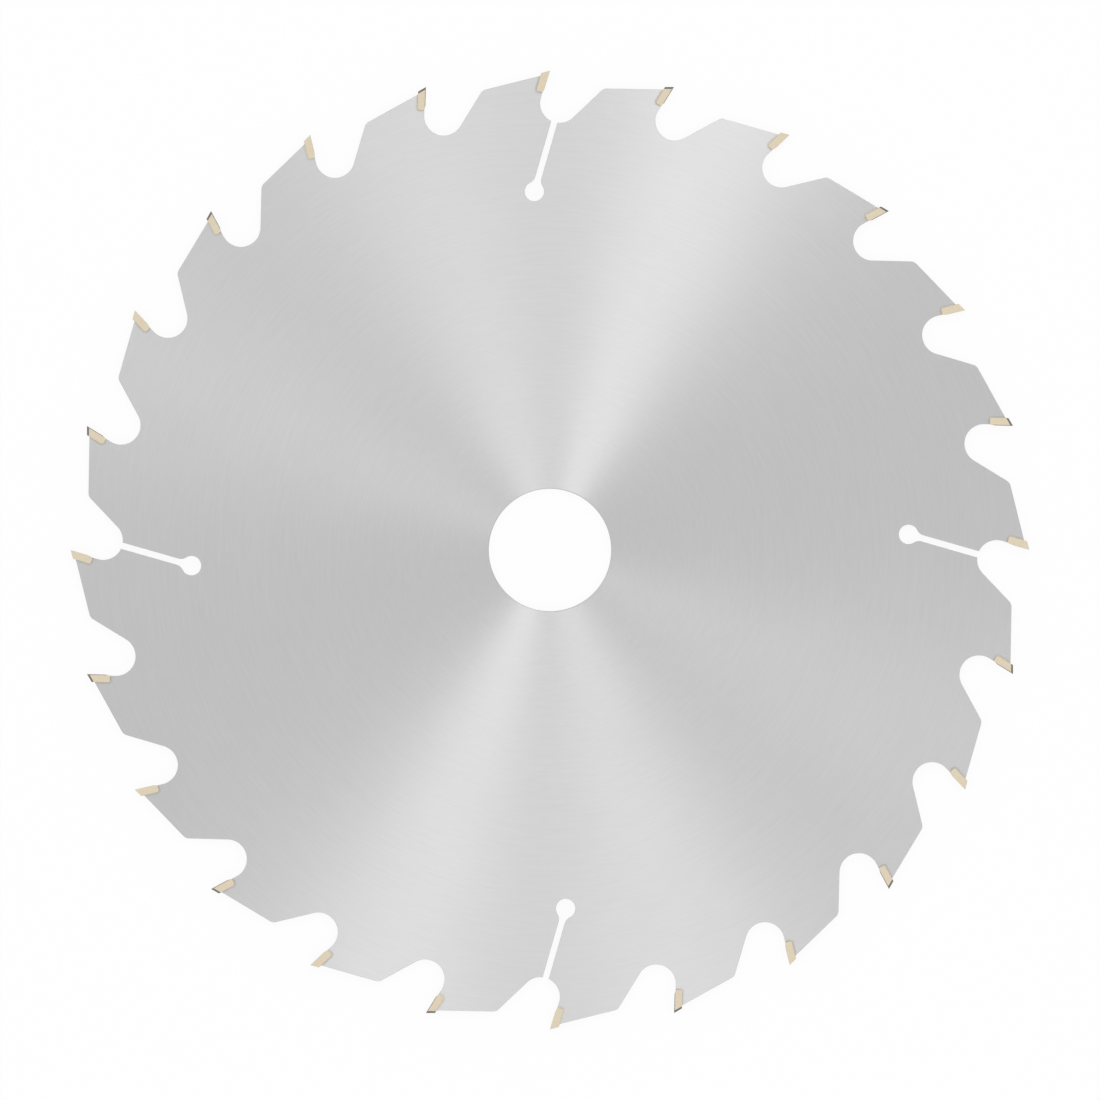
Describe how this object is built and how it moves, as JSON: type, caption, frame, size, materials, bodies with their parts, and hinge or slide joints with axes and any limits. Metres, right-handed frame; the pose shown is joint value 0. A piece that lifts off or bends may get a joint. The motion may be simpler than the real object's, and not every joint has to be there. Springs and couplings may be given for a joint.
{
  "type": "tct circular saw blade",
  "caption": "Flat round steel saw blade with a plain arbor bore, hooked teeth with brazed carbide tips bevelled left and right in turn, and keyhole expansion slots.",
  "frame": {"origin": "centre of the arbor bore, on the middle plane of the plate", "axes": "+Z along the arbor axis; +Y through the cutting edge of tooth 1; seen from +Z the blade cuts turning clockwise"},
  "size_m": [0.235, 0.235, 0.0028],
  "materials": {
    "ground_steel": "ground in fine concentric lines",
    "carbide": "sintered, tan on the sides, ground dark grey on the cutting face and top",
    "silver_solder": "dull solder seam"
  },
  "bodies": {
    "root": {"blade_plate": "ground_steel", "carbide_tip_01": "carbide", "carbide_tip_02": "carbide", "carbide_tip_03": "carbide", "carbide_tip_04": "carbide", "carbide_tip_05": "carbide", "carbide_tip_06": "carbide", "carbide_tip_07": "carbide", "carbide_tip_08": "carbide", "carbide_tip_09": "carbide", "carbide_tip_10": "carbide", "carbide_tip_11": "carbide", "carbide_tip_12": "carbide", "carbide_tip_13": "carbide", "carbide_tip_14": "carbide", "carbide_tip_15": "carbide", "carbide_tip_16": "carbide", "carbide_tip_17": "carbide", "carbide_tip_18": "carbide", "carbide_tip_19": "carbide", "carbide_tip_20": "carbide", "carbide_tip_21": "carbide", "carbide_tip_22": "carbide", "carbide_tip_23": "carbide", "carbide_tip_24": "carbide", "braze_joint_01": "silver_solder", "braze_joint_02": "silver_solder", "braze_joint_03": "silver_solder", "braze_joint_04": "silver_solder", "braze_joint_05": "silver_solder", "braze_joint_06": "silver_solder", "braze_joint_07": "silver_solder", "braze_joint_08": "silver_solder", "braze_joint_09": "silver_solder", "braze_joint_10": "silver_solder", "braze_joint_11": "silver_solder", "braze_joint_12": "silver_solder", "braze_joint_13": "silver_solder", "braze_joint_14": "silver_solder", "braze_joint_15": "silver_solder", "braze_joint_16": "silver_solder", "braze_joint_17": "silver_solder", "braze_joint_18": "silver_solder", "braze_joint_19": "silver_solder", "braze_joint_20": "silver_solder", "braze_joint_21": "silver_solder", "braze_joint_22": "silver_solder", "braze_joint_23": "silver_solder", "braze_joint_24": "silver_solder"}
  },
  "joints": []
}
